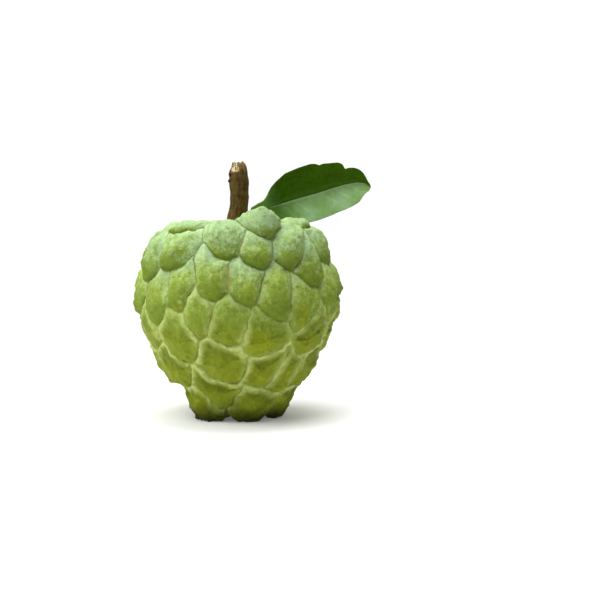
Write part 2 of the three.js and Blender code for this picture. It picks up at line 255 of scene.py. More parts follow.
def raiseSurface(piece, name, height, weights, size=0, octaves=1, least=0.002):
    # moves the surface out by height, where the weights let it, evenly or in soft lumps of that size
    group = piece.vertex_groups.new(name=name)
    for index, weight in enumerate(weights):
        if weight > least:
            group.add([index], min(float(weight), 1.0), "REPLACE")
    settings = {"strength": height, "mid_level": 0.0}
    if size:
        texture = bpy.data.textures.new(name, "CLOUDS")
        texture.noise_scale = size
        texture.noise_depth = octaves
        settings = {"strength": height * 2, "mid_level": 0.5, "texture": texture, "texture_coords": "LOCAL"}
    applyModifier(piece, name, "DISPLACE", vertex_group=name, **settings)
    piece.vertex_groups.remove(piece.vertex_groups[name])


def wobble(piece, name, amount, size):
    # shifts the surface this way and that, so that no edge runs quite straight
    before = pointsOf(piece)
    texture = bpy.data.textures.new(name, "CLOUDS")
    texture.cloud_type = "COLOR"
    texture.noise_scale = size
    texture.noise_depth = 1
    applyModifier(piece, name, "DISPLACE", texture=texture, texture_coords="LOCAL", direction="RGB_TO_XYZ",
                  strength=amount, mid_level=0.5)
    after = pointsOf(piece)
    averageShift = (after - before).mean(axis=0)
    setPoints(piece, after - averageShift)


def smoothStep(values, low, high):
    share = np.clip((values - low) / (high - low), 0, 1)
    return share * share * (3 - 2 * share)


def hump(values, middle, halfWidth):
    return np.exp(-((values - middle) / halfWidth) ** 2)


def finishPiece(piece, node, material):
    selectOnly(piece)
    bpy.ops.object.shade_smooth()
    piece.data.materials.append(material)
    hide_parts(node)
    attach(piece, "root")
    print(piece.name, "has", len(piece.data.polygons), "faces")


fruit = {
    "seed": 11,
    "levels": 2,
    "middle": (0, 0, 36 * mm),
    "hollowAngle": 22,         # degrees: a hollow edge sharper than this is a furrow between scales
    "furrowCrease": 0.35,
    "smallestScale": 60,       # points; an island with fewer is no scale
    "sameFurrow": 2.2 * mm,    # a furrow's direction is the average over this distance
    # heights in mm
    "restingBelow": 0.05,      # what lies this low stays on the ground
    "highScales": (26, 46),    # between these, raised rims give way to bulging lower edges
    "crownEdge": (57, 63),     # where that bulge ends
    "gapsAbove": (34, 42),
    # relief
    "swells": (0.40 * mm, 8.5 * mm),     # height and size of the uneven swelling of the scales
    "lumps": (0.46 * mm, 3.8 * mm),
    "pebbles": (0.22 * mm, 1.4 * mm),
    "onScale": (0.3, 1.8),               # mm from the furrow between which lumps and pebbles set in
    "bends": (2.2 * mm, 7.5 * mm),       # how far the scales' edges stray, and over what length
    "nicks": (0.9 * mm, 2.0 * mm),
    "crack": (0.22 * mm, 0.30, 0.3),     # depth, half-width in mm, and share of that depth outside the gaps
    "gaps": (-1.5, 11, 120),             # tan gaps show here: middle, half-width and repeat in degrees
    "gapUpright": (0.80, 0.92),          # and only in furrows that run this straight up
    "lip": (0.40 * mm, 1.5, 1.1),        # a high scale's lower edge bulges over the next scale
    "lipSide": (0.1, 0.8),
    "rim": (0.50 * mm, 0.8, 1.1),        # a low scale's raised upper edge: height, distance and half-width
    "rimSide": (-0.6, 0.2),
    "dish": (0.60 * mm, 1.2, 4.2),       # and how far its face is sunk inside that, between two distances
    "dishSide": (-0.4, 0.5),
    # noises of the colour: scale, detail, roughness and warp
    "broad": (105, 2, 0.5, 0.3),
    "blotch": (310, 3, 0.6),
    "spots": (640, 3, 0.75, 0.6),
    "mottle": (800, 4, 0.75),
    "flecks": (1250, 2, 0.6),
    "grain": (2000, 3, 0.7),
    "specks": (2100, 2, 0.6),
    # heights between which the colour changes
    "footHeights": (0.5 * mm, 8.5 * mm),
    "crownHeights": (14 * mm, 62 * mm),
    "paintedLightHeights": (40 * mm, 64 * mm),
    "coolHeights": (46 * mm, 61 * mm),
    "crestHeights": (65.5 * mm, 69 * mm),
    # mm from the furrow between which each layer fades out
    "line": (0.08, 0.42),
    "gap": (0.15, 0.55),
    "webPaleAndLight": (0.15, 0.9),
    "tuckShade": (0.3, 1.5),
    "edgePowderAndLight": (0.4, 3.2),
    "softRim": (0.4, 3.4),
    "rimHighlightBand": (0.1, 0.45, 0.7, 1.4),   # these two fade in first
    "inside": (0.8, 2.6, 2.6, 8.0),
    # the most that each layer covers
    "most": {"olive": 0.9, "ripe": 0.45, "hollow": 0.8, "powderAndLight": 0.92, "tuckShade": 0.75, "spots": 0.5,
             "specks": 0.6, "line": 0.5, "webPaleAndLight": 0.45, "gap": 0.9, "foot": 0.95},
    "flesh": rgb(132, 153, 54),
    "shade": rgb(94, 116, 26),           # dark green: painted shade at the lower ends of high scales and under their tucked edges, and the colour of dark spots
    "olive": rgb(126, 137, 30),          # the whole lower end: its own yellower colour, deepened as painted shade
    "hollow": rgb(92, 103, 18),          # painted shade just inside the raised rim of a low scale
    # painted shade at the foot, where it meets the floor
    "foot": rgb(40, 44, 5),
    "ripe": rgb(146, 158, 20),           # yellow-green blotches
    "bloomCool": rgb(162, 193, 138),     # powder on the upper surfaces, where it also stands for painted light
    "bloomWarm": rgb(163, 188, 90),
    # pale rims and web: their own paler colour, and painted highlight
    "rimPaleAndHighlight": rgb(186, 200, 118),
    "crackTan": rgb(184, 178, 98),
    # painted shade in the crown's furrows
    "furrowShade": rgb(84, 86, 24),
    "fleck": rgb(82, 96, 24),
    "speck": rgb(192, 212, 172),
}


def markFurrows(piece):
    # 1 on the furrows, 0 elsewhere
    mesh = bmesh.new()
    mesh.from_mesh(piece.data)
    limit = math.radians(fruit["hollowAngle"])
    hollow = np.zeros(len(mesh.verts))
    for edge in mesh.edges:
        if len(edge.link_faces) == 2 and edge.calc_face_angle_signed(0) < -limit:
            for vertex in edge.verts:
                hollow[vertex.index] += 1
    mesh.free()
    onFurrow = hollow >= 2       # at least two hollow edges meet there
    storeAttribute(piece, "onFurrow", onFurrow)
    for edge in piece.data.edges:
        edge.select = bool(onFurrow[list(edge.vertices)].all())
    bpy.context.tool_settings.mesh_select_mode = (False, True, False)
    bpy.ops.object.mode_set(mode="EDIT")
    bpy.ops.transform.edge_crease(value=fruit["furrowCrease"])
    bpy.ops.mesh.select_all(action="DESELECT")
    bpy.ops.object.mode_set(mode="OBJECT")


def edgeEnds(piece):
    ends = np.empty(len(piece.data.edges) * 2, dtype=np.int64)
    piece.data.edges.foreach_get("vertices", ends)
    return ends.reshape(-1, 2)


def furrowDistance(piece, points, onFurrow):
    # each point's distance in mm to the nearest furrow, how upright that furrow runs there, and its side:
    # 1 where the furrow is straight uphill, at a scale's upper edge, and -1 where it is straight downhill
    ends = edgeEnds(piece)
    ends = ends[onFurrow[ends].all(axis=1)]
    start, run = points[ends[:, 0]], points[ends[:, 1]] - points[ends[:, 0]]
    samples = np.concatenate([start + run * share for share in (0.0, 0.25, 0.5, 0.75)])
    upright = np.abs(run[:, 2]) / np.maximum(np.linalg.norm(run, axis=1), tiny)
    tree = kdtree.KDTree(len(samples))
    for index, sample in enumerate(samples):
        tree.insert(sample, index)
    tree.balance()

    def averageUpright(place):
        near = tree.find_range(place, fruit["sameFurrow"])
        return np.mean([upright[index % len(start)] for _, index, _ in near])

    smooth = np.array([averageUpright(place) for place in start + run * 0.5])
    found = [tree.find(point) for point in points]
    away = np.array([distance for _, _, distance in found])
    outward = points - np.array(fruit["middle"])
    outward /= np.linalg.norm(outward, axis=1)[:, None]
    uphill = np.array([0, 0, 1]) - outward * outward[:, 2:]
    toFurrow = np.array([place for place, _, _ in found]) - points
    side = (toFurrow * uphill).sum(axis=1) / np.maximum(away * np.linalg.norm(uphill, axis=1), tiny)
    return away / mm, smooth[[index % len(start) for _, index, _ in found]], np.clip(side, -1, 1)


def scaleLabels(piece, onFurrow):
    # numbers the scales, which are the islands between the furrows
    ends = edgeEnds(piece)
    ends = ends[~onFurrow[ends].any(axis=1)]
    label = np.arange(len(onFurrow))
    while True:
        lowest = np.minimum(label[ends[:, 0]], label[ends[:, 1]])
        new = label.copy()
        np.minimum.at(new, ends[:, 0], lowest)
        np.minimum.at(new, ends[:, 1], lowest)
        new = new[new]
        if (new == label).all():
            return label
        label = new


def describeScales(piece, points, onFurrow):
    # a tint of its own for each scale, and how high on it each point lies, from -1 to 1
    rand = random.Random(fruit["seed"])
    tone = np.full(len(points), 0.5)
    high = np.zeros(len(points))
    label = scaleLabels(piece, onFurrow)
    scales = [n for n, count in zip(*np.unique(label[~onFurrow], return_counts=True))
              if count > fruit["smallestScale"]]
    for number in scales:
        mine = (label == number) & ~onFurrow
        tone[mine] = rand.random()
        bottom, top = points[mine, 2].min(), points[mine, 2].max()
        high[mine] = 2 * (points[mine, 2] - bottom) / (top - bottom) - 1
    storeAttribute(piece, "scaleTone", tone)
    storeAttribute(piece, "scaleHeight", high)
    print("the fruit has", len(scales), "scales")


def buildFruit():
    piece = copyOfNode("fruit", "fruitSkin")
    markFurrows(piece)
    applyModifier(piece, "rounding", "SUBSURF", levels=fruit["levels"], render_levels=fruit["levels"])
    points = pointsOf(piece)
    onFurrow = readAttribute(piece, "onFurrow") > 0.999      # still 1 along the furrows, and less beside them
    away, upright, side = furrowDistance(piece, points, onFurrow)
    describeScales(piece, points, onFurrow)
    height = points[:, 2] / mm
    high = smoothStep(height, *fruit["highScales"])
    middle, halfWidth, repeat = fruit["gaps"]
    turn = np.degrees(np.arctan2(points[:, 0], -points[:, 1])) - middle
    nearGap = hump((turn + repeat / 2) % repeat - repeat / 2, 0, halfWidth)
    seam = smoothStep(upright, *fruit["gapUpright"]) * smoothStep(height, *fruit["gapsAbove"]) * nearGap
    resting = height < fruit["restingBelow"]

    raiseSurface(piece, "swells", fruit["swells"][0], np.ones(len(points)), fruit["swells"][1])
    onScale = smoothStep(away, *fruit["onScale"])
    raiseSurface(piece, "lumps", fruit["lumps"][0], onScale, fruit["lumps"][1], 1)
    raiseSurface(piece, "pebbles", fruit["pebbles"][0], onScale, fruit["pebbles"][1], 1)
    depth, halfWidth, least = fruit["crack"]
    raiseSurface(piece, "crack", -depth, hump(away, 0, halfWidth) * (least + (1 - least) * seam))
    rise, place, halfWidth = fruit["lip"]
    bulging = smoothStep(-side, *fruit["lipSide"]) * high * (1 - smoothStep(height, *fruit["crownEdge"]))
    raiseSurface(piece, "lip", rise, hump(away, place, halfWidth) * bulging)
    rise, place, halfWidth = fruit["rim"]
    raised = smoothStep(side, *fruit["rimSide"]) * (1 - high)
    raiseSurface(piece, "rim", rise, hump(away, place, halfWidth) * raised)
    depth, start, end = fruit["dish"]
    sunk = smoothStep(side, *fruit["dishSide"]) * (1 - high)
    raiseSurface(piece, "dish", -depth, smoothStep(away, start, end) * sunk)
    wobble(piece, "bends", *fruit["bends"])
    wobble(piece, "nicks", *fruit["nicks"])
    points = pointsOf(piece)
    points[resting, 2] = 0
    points[:, 2] = np.maximum(points[:, 2], 0)
    setPoints(piece, points)

    storeAttribute(piece, "fromFurrow", away)
    storeAttribute(piece, "edgeSide", side)
    storeAttribute(piece, "seam", seam)
    piece.data.attributes.remove(piece.data.attributes["onFurrow"])
    finishPiece(piece, "fruit", skinMaterial())


class SkinMasks:
    # what the layers of the skin's colour have in common
    def __init__(self, s):
        self.place = s.place()
        self.up = s.part(self.place, "Z")
        self.broad = s.noise(self.place, *fruit["broad"])
        self.blotch = s.noise(self.place, *fruit["blotch"])
        self.mottle = s.noise(self.place, *fruit["mottle"])
        self.grain = s.noise(self.place, *fruit["grain"])
        self.away, self.side = s.attribute("fromFurrow"), s.attribute("edgeSide")
        self.tone = s.attribute("scaleTone")
        self.crown = s.ramp(self.up, *fruit["crownHeights"])     # 0 at the lower end, 1 at the top
        self.crest = s.ramp(self.up, *fruit["crestHeights"])     # the scales up here are powdery all over
        self.high = s.attribute("scaleHeight") + self.crest * 1.2
        self.uneven = (self.blotch - 0.5) * 1.1 + (self.mottle - 0.5) * 1.6 + (self.grain - 0.5) * 0.6
        self.fleck = s.fade(s.noise(self.place, *fruit["flecks"]) + (self.blotch - 0.5) * 0.3, 0.28, 0.38)


def band(s, away, start, full, stillFull, end):
    # a stripe beside the furrow, between four distances
    return s.ramp(away, start, full) * s.fade(away, stillFull, end)


def bareSkin(s, m):
    # painted shade, darker and greener toward the lower end of a high scale; and olive toward the fruit's
    # lower end, the skin's own colour there, deepened as painted shade
    most = fruit["most"]
    # painted shade: low is how far the shade colour covers the lower end of a scale
    low = s.ramp(m.uneven - m.high * 0.55, -0.2, 0.6)
    colour = s.mix(low * (0.15 + 0.85 * m.crown), fruit["flesh"], fruit["shade"])
    # olive at the lower end: the skin's own colour, deepened as painted shade
    olive = s.ramp(1.0 - m.crown + (m.broad - 0.5) * 1.2, 0.3, 1.0)
    colour = s.mix(olive * most["olive"], colour, fruit["olive"])
    ripe = s.ramp(m.broad + (m.mottle - 0.5) * 0.6 + (m.tone - 0.5) * 0.12, 0.55, 0.7)
    colour = s.mix(ripe * most["ripe"], colour, fruit["ripe"])
    # painted shade: the face of a low scale is darkest just inside its raised rim
    inside = band(s, m.away, *fruit["inside"]) * s.ramp(m.side, -0.1, 0.6) * s.ramp(m.blotch, 0.2, 0.5)
    return s.mix(inside * (1.0 - m.crown) * most["hollow"], colour, fruit["hollow"])


def powderAndLightCover(s, m):
    # powder lies on all that faces up, and along every edge but the lower one; laid thickest on the upper
    # part of each scale and its upper edges, it is also painted light there
    edgePowderAndLight = s.fade(m.away, *fruit["edgePowderAndLight"]) * s.ramp(m.side, -0.8, 0.3)
    upward = m.crown * (0.40 + 0.32 * m.high) + 0.14 * m.high
    cover = s.ramp(upward + edgePowderAndLight * 0.2 + m.uneven + (m.broad - 0.5) * 0.5, 0.02, 0.85)
    return cover * (0.2 + 0.8 * s.ramp(m.crown, 0.15, 0.8))


def powderColour(s, m):
    # cool on the crown, and warm below it
    topmost = m.crown * 0.6 + s.ramp(m.up, *fruit["coolHeights"]) * 0.4
    cool = s.ramp(topmost + (m.tone - 0.5) * 0.4 + (m.broad - 0.5) * 0.6 + m.crest * 0.2, 0.55, 1.0)
    return s.mix(cool, fruit["bloomWarm"], fruit["bloomCool"])


def withEdges(s, m, colour):
    # pale rims low down, broken here and there: the rims' own paler colour, with a painted highlight along
    # their crests
    strong = 0.24 + 0.6 * s.ramp(m.broad, 0.36, 0.6)
    soft = s.fade(m.away + (m.blotch - 0.5) * 2.0, *fruit["softRim"]) * s.ramp(m.side, -0.7, 0.3)
    rimHighlight = band(s, m.away, *fruit["rimHighlightBand"]) * s.ramp(m.side, -0.2, 0.5) * s.ramp(m.blotch, 0.4, 0.5)
    rim = soft * strong * (1.0 - m.crown * 0.75) + rimHighlight * 0.5 * (1.0 - m.crown * 0.4)
    colour = s.mix(rim, colour, s.mix(s.ramp(m.crown, 0.5, 1.0), fruit["rimPaleAndHighlight"], fruit["speck"]))
    # painted shade under the lower edge of a high scale, which is tucked in: dark and green
    tuckShade = s.fade(m.away, *fruit["tuckShade"]) * s.fade(m.side, -0.7, -0.1)
    return s.mix(tuckShade * m.crown * (1.0 - m.crest * 0.8) * fruit["most"]["tuckShade"], colour, fruit["shade"])


def withMarks(s, m, colour, powderAndLight):
    # dark and yellow-green spots, dark flecks, and pale specks where there is powder
    most = fruit["most"]
    spot = s.ramp(s.noise(m.place, *fruit["spots"]), 0.53, 0.66)
    spotColour = s.mix(s.ramp(m.broad, 0.48, 0.66), fruit["shade"], fruit["ripe"])
    colour = s.mix(spot * m.crown * most["spots"], colour, spotColour)
    colour = s.mix(m.fleck * (0.1 + m.crown * 0.3), colour, fruit["fleck"])
    speck = s.ramp(s.noise(m.place, *fruit["specks"]) + (m.blotch - 0.5) * 0.3, 0.56, 0.70)
    return s.mix(speck * (0.2 + powderAndLight * 0.8) * m.crown * most["specks"], colour, fruit["speck"])


def withFurrows(s, m, colour):
    # painted shade as a dark line in the crown's furrows; a pale web in the low ones, their own paler colour
    # with painted light over the groove's shade; and tan in the gaps
    most = fruit["most"]
    line = s.fade(m.away, *fruit["line"]) * m.crown
    colour = s.mix(line * most["line"], colour, fruit["furrowShade"])
    # the low furrows' own paler colour, with painted light over the shade of the groove
    webPaleAndLight = s.fade(m.away, *fruit["webPaleAndLight"]) * (1.0 - m.crown) * s.ramp(m.blotch, 0.36, 0.6)
    colour = s.mix(webPaleAndLight * most["webPaleAndLight"], colour, fruit["rimPaleAndHighlight"])
    gap = s.fade(m.away, *fruit["gap"]) * s.attribute("seam")
    return s.mix(gap * most["gap"], colour, fruit["crackTan"])


def skinMaterial():
    s = Shader("scalySkin", specular=0.05)
    m = SkinMasks(s)
    # powder, and painted light on the upward parts and upper edges of the scales
    powderAndLight = powderAndLightCover(s, m)
    colour = s.mix(powderAndLight * fruit["most"]["powderAndLight"], bareSkin(s, m), powderColour(s, m))
    colour = withEdges(s, m, colour)
    colour = withMarks(s, m, colour, powderAndLight)
    colour = withFurrows(s, m, colour)
    # painted shade makes the foot darkest, and painted light makes the upper half a little brighter
    foot = s.fade(m.up + (m.blotch - 0.5) * (4 * mm), *fruit["footHeights"])
    colour = s.mix(foot * fruit["most"]["foot"], colour, fruit["foot"])
    # painted light: the upper half brighter, less so on the crest; the mottle and grain are the skin's own
    paintedLight = 0.56 + s.ramp(m.up, *fruit["paintedLightHeights"]) * 0.12 - m.crest * 0.08
    colour = s.mix(1.0, colour, paintedLight + m.mottle * 0.56 + m.grain * 0.32, "MULTIPLY")
    return s.finish(Base_Color=colour, Roughness=0.5 + powderAndLight * 0.25 + (m.grain - 0.5) * 0.4,
                    Normal=s.bump(m.mottle + m.grain * 0.6 - m.fleck * 0.3, 0.5, 0.6 * mm))


stalk = {
    "seed": 5,
    "levels": 3,
    "knots": (0.22 * mm, 2.6 * mm),              # height and size
    "wrinkles": (0.20 * mm, 0.8 * mm),
    "squeeze": 0.16,                             # and how far the stalk is squeezed while they are raised
    "splinters": 26,
    "splinterSize": (0.20 * mm, 0.06 * mm, 2.3 * mm),    # radius at the root and at the tip, and length
    "splinterSizes": ((0.5, 1.6), (0.5, 1.0), (0.4, 1.0)),     # least and most of that, along each axis
    "splinterLean": 0.3,                         # the most, in radians
    "tornRing": (0.5 * mm, 0.0, 84.4 * mm, 1.9 * mm),    # where splinters stand: middle and radius
    "ringShare": (0.55, 1.0),                    # of that radius
    "buds": [(-2.35, -1.5, 83.2, 0.55), (-2.75, -1.2, 80.9, 0.5)],      # mm across, back, up and radius
    "budSkin": (0.4 * mm, 0.5 * mm),             # how far it strays, and over what length
    # noises of the colour: how the pattern is squeezed along each axis, then scale, detail and roughness
    "streak": ((1, 1, 0.14), 1000, 4, 0.7),
    "thread": ((1, 1, 0.08), 2600, 2, 0.6),
    "ringing": ((0.25, 0.25, 1), 1100, 2, 0.6),
    "patch": ((1, 1, 1), 240, 3, 0.6),
    "stain": ((1, 1, 1), 420, 2, 0.5),
    # heights between which the colour changes, and places across, since foot and bare wood lie at the left
    "footHeights": (63.5 * mm, 72 * mm),
    "footAcross": (-1 * mm, 2 * mm),
    "tornHeights": (84.2 * mm, 85.8 * mm),
    "bareHeights": (83.4 * mm, 84.8 * mm),
    "bareAcross": (-0.2 * mm, 1 * mm),
    "splinterAcross": (0, 1.2 * mm),
    "dark": rgb(52, 38, 14),
    "brown": rgb(104, 82, 42),
    "olive": rgb(98, 84, 36),
    "golden": rgb(132, 98, 46),          # down at the foot
    "reddish": rgb(92, 54, 22),
    "tan": rgb(140, 114, 62),            # dry wood at the torn end
    "cream": rgb(232, 212, 164),
    "bud": rgb(58, 36, 30),
}


def buildStalk():
    piece = copyOfNode("stalk", "barkStalk")
    applyModifier(piece, "rounding", "SUBSURF", levels=stalk["levels"], render_levels=stalk["levels"])
    everywhere = np.ones(len(piece.data.vertices))
    raiseSurface(piece, "knots", stalk["knots"][0], everywhere, stalk["knots"][1])
    # squeezed, raised in lumps and stretched back, the lumps become lengthwise wrinkles
    squeeze = np.array([1, 1, stalk["squeeze"]])
    setPoints(piece, pointsOf(piece) * squeeze)
    raiseSurface(piece, "wrinkles", stalk["wrinkles"][0], everywhere, stalk["wrinkles"][1], 2)
    setPoints(piece, pointsOf(piece) / squeeze)
    markKind(piece, torn=0, bud=0)
    joinAll(piece, makeSplinters() + makeBuds())
    finishPiece(piece, "stalk", barkMaterial())


def markKind(piece, torn, bud):
    # tells bark, splinters and buds apart once they are one piece
    everywhere = np.ones(len(piece.data.vertices))
    storeAttribute(piece, "torn", torn * everywhere)
    storeAttribute(piece, "bud", bud * everywhere)


def joinAll(piece, others):
    selectOnly(piece)
    for other in others:
        other.select_set(True)
    bpy.ops.object.join()


def makeSplinters():
    # one splinter, and its copies round the torn end
    rand = random.Random(stalk["seed"])
    radius, tipRadius, length = stalk["splinterSize"]
    most = stalk["splinterLean"]
    bpy.ops.object.select_all(action="DESELECT")
    bpy.ops.mesh.primitive_cone_add(vertices=6, radius1=radius, radius2=tipRadius, depth=length,
                                    location=(0, 0, length / 2))
    model = bpy.context.active_object
    bpy.ops.object.transform_apply(location=True)
    markKind(model, torn=1, bud=0)
    x, y, z, ring = stalk["tornRing"]
    copies = []
    for number in range(stalk["splinters"]):
        turn = 2 * math.pi * (number + rand.random() * 0.8) / stalk["splinters"]
        reach = ring * rand.uniform(*stalk["ringShare"])
        copy = bpy.data.objects.new("splinter", model.data.copy())
        scene.collection.objects.link(copy)
        lean = Euler((rand.uniform(-most, most), rand.uniform(-most, most), turn))
        size = Matrix.Diagonal([rand.uniform(*limits) for limits in stalk["splinterSizes"]] + [1])
        spot = Vector((x + reach * math.cos(turn), y + reach * math.sin(turn), z))
        copy.data.transform(Matrix.Translation(spot) @ lean.to_matrix().to_4x4() @ size)
        copies.append(copy)
    bpy.data.objects.remove(model)
    return copies


def makeBuds():
    buds = []
    for x, y, z, radius in stalk["buds"]:
        bpy.ops.object.select_all(action="DESELECT")
        bpy.ops.mesh.primitive_ico_sphere_add(subdivisions=3, radius=radius * mm,
                                              location=(x * mm, y * mm, z * mm))
        bud = bpy.context.active_object
        bpy.ops.object.transform_apply(location=True)
        wobble(bud, "budSkin", *stalk["budSkin"])
        markKind(bud, torn=0, bud=1)
        buds.append(bud)
    return buds


def barkMaterial():
    s = Shader("driedBark", roughness=0.8, specular=0.15)
    place = s.place()
    across, up = s.part(place, "X"), s.part(place, "Z")

    def pattern(name):
        squeeze, *settings = stalk[name]
        return s.noise(s.stretched(place, squeeze), *settings)

    streak, thread, ringing, patch = [pattern(name) for name in ("streak", "thread", "ringing", "patch")]
    fibres = streak * 0.6 + thread * 0.4 + (ringing - 0.5) * 0.3
    colour = s.mix(s.ramp(fibres, 0.36, 0.62), stalk["dark"], stalk["brown"])
    colour = s.mix(s.ramp(patch, 0.45, 0.62) * 0.6, colour, stalk["olive"])
    foot = s.fade(up + (patch - 0.5) * (6 * mm), *stalk["footHeights"]) * s.fade(across, *stalk["footAcross"])
    colour = s.mix(foot * 0.75, colour, stalk["golden"])
    stain = s.ramp(pattern("stain") + thread * 0.2, 0.68, 0.76)
    colour = s.mix(stain * 0.7, colour, stalk["reddish"])
    # the torn end: dry and tan at the top, with bare wood in streaks down its left
    tornEnd = s.ramp(up + (streak - 0.5) * (6 * mm), *stalk["tornHeights"])
    colour = s.mix(tornEnd * s.ramp(thread, 0.3, 0.6), colour, stalk["tan"])
    bare = s.ramp(up + (patch - 0.5) * (4 * mm), *stalk["bareHeights"]) * s.fade(across, *stalk["bareAcross"])
    colour = s.mix(bare * s.ramp(thread, 0.45, 0.58), colour, stalk["cream"])
    splinter = s.attribute("torn")
    colour = s.mix(splinter * 0.9, colour, stalk["tan"])
    fresh = splinter * s.ramp(thread, 0.5, 0.6) * s.fade(across, *stalk["splinterAcross"])
    colour = s.mix(fresh, colour, stalk["cream"])
    colour = s.mix(s.attribute("bud"), colour, stalk["bud"])
    return s.finish(Base_Color=colour, Normal=s.bump(streak + thread * 0.5 + ringing * 0.4, 0.8, 0.4 * mm))


leaf = {
    # lines of the blade as seen from the front: mm across and up
    "midrib": [(4.4, 70.8), (7.5, 70.6), (13.2, 71.9), (20.2, 74), (27.2, 75.9), (36.5, 78.8), (41.2, 79.7),
               (44.1, 79.4), (46.2, 77.8)],
    "upperEdge": [(4.4, 71.5), (6.5, 72.6), (8.5, 73.7), (10, 75.8), (11.2, 78.2), (13.3, 80.7),
                  (16.1, 83.1), (20.5, 84.9), (24.8, 86.3), (26.8, 86.3), (27.9, 85.8), (29.3, 86.4),
                  (31.8, 86.6), (34.5, 86.8), (36.1, 86.2), (37.1, 84.4), (38.3, 84.9), (40.1, 84.9),
                  (41.9, 84.3), (43.4, 83.1), (44.5, 81.4), (45.1, 80), (45.9, 78.9), (46.2, 77.8)],
    "lowerEdge": [(4.4, 70.2), (6.8, 69.3), (9.5, 68), (12.9, 66.7), (16.8, 65.6), (20.6, 65.3), (24, 65.6),
                  (27.9, 66.6), (31.8, 68), (34.3, 69.1), (37, 70.1), (39, 71), (40.8, 72), (42.2, 72.9),
                  (43.5, 74.8), (44.6, 76), (45.8, 76.8), (46.2, 77.8)],
    # how far back the midrib lies, in mm, against mm across
    "setBack": [(4.5, 4.4), (8, 8.5), (14, 13.4), (22, 16.4), (32, 18), (46, 18.5)],
    "foldUpper": 26,           # degrees that each half is folded forward
    "foldLower": 30,
    "roll": 0.018,
    "along": 110,
    "across": 32,
    "thickness": 0.42 * mm,
    "sideVeins": 9,
    "veinSlant": 0.22,         # how far a side vein runs toward the tip
    "veinHalfWidth": 0.09,     # against 1 from vein to vein
    "veinReach": (0.1, 0.75, 1.0),       # it sets in by the first share of the half blade, and fades out
    "groove": (0.40 * mm, 0.05),         # the midrib's: depth, and half-width as a share of the half blade
    "veinDepth": 0.13 * mm,
    "ripple": (0.30 * mm, 4 * mm),       # height and size
    "rippleFrom": 0.2,                   # share of the half blade
    # the leaf stem and the midrib on the back: mm across, back, up and thick
    "stem": [(1.6, 0.8, 65.3, 1.9), (2.9, 1.6, 66.3, 1.6), (3.5, 2.8, 68.3, 1.2), (4.3, 4.2, 70.1, 1.0),
             (6.4, 7.1, 70.3, 0.95)],
    "ribShares": (0.1, 0.2, 0.32, 0.45, 0.58, 0.7, 0.82, 0.93),
    "ribBehind": 0.45 * mm,
    "ribRadius": (0.48 * mm, 0.18 * mm),       # at the leaf's foot and at its tip
    # noises of the colour: scale, detail and roughness
    "patch": (170, 3, 0.55),
    "fine": (900, 3, 0.65),
    "pores": (1500, 2),
    # places across the blade, from -1 at the lower edge to 1 at the upper one: middle, then where it fades
    "paleLine": (-0.05, 0.025, 0.06),
    "darkLine": (0.02, 0.02, 0.05),
    "margin": (0.955, 0.985),
    # shares of the midrib's length between which the colour changes
    "footShares": (0.2, 0.42),
    "footGreenShares": (0.08, 0.26),
    "tipShares": (0.86, 1.0),
    # painted shade on the upper half: darkGreen and darkest; darkGreen also darkens the lower half at the
    # foot, and darkest is the line along the midrib
    "darkGreen": rgb(60, 97, 0),
    "darkest": rgb(54, 80, 0),
    "green": rgb(92, 132, 48),           # beside the midrib and at the foot
    "footGreen": rgb(124, 162, 86),
    # painted light on the lower half: paleGreen, with the painted sheen
    "paleGreen": rgb(118, 158, 80),
    "paintedSheen": rgb(134, 173, 116),
    "tipGreen": rgb(122, 158, 66),
    "vein": rgb(158, 192, 132),
}


def along(line, share):
    # the point at each share of a line's length, in metres
    line = np.array(line) * mm
    length = np.concatenate([[0], np.cumsum(np.linalg.norm(np.diff(line, axis=0), axis=1))])
    return np.stack([np.interp(share * length[-1], length, line[:, axis]) for axis in (0, 1)], axis=-1)


def bladePoints(share, across):
    # across runs from -1 at the lower edge to 1 at the upper one
    rib = along(leaf["midrib"], share)
    edge = np.where(across[:, None] >= 0, along(leaf["upperEdge"], share), along(leaf["lowerEdge"], share))
    width = np.linalg.norm(edge - rib, axis=1) * np.abs(across)
    fold = np.tan(np.radians(np.where(across >= 0, leaf["foldUpper"], leaf["foldLower"])))
    forward = width * fold * (1 - leaf["roll"] * width / mm)
    flat = rib + (edge - rib) * np.abs(across)[:, None]
    setBack = np.array(leaf["setBack"]) * mm
    back = np.interp(rib[:, 0], setBack[:, 0], setBack[:, 1])
    return np.stack([flat[:, 0], back - forward, flat[:, 1]], axis=1)


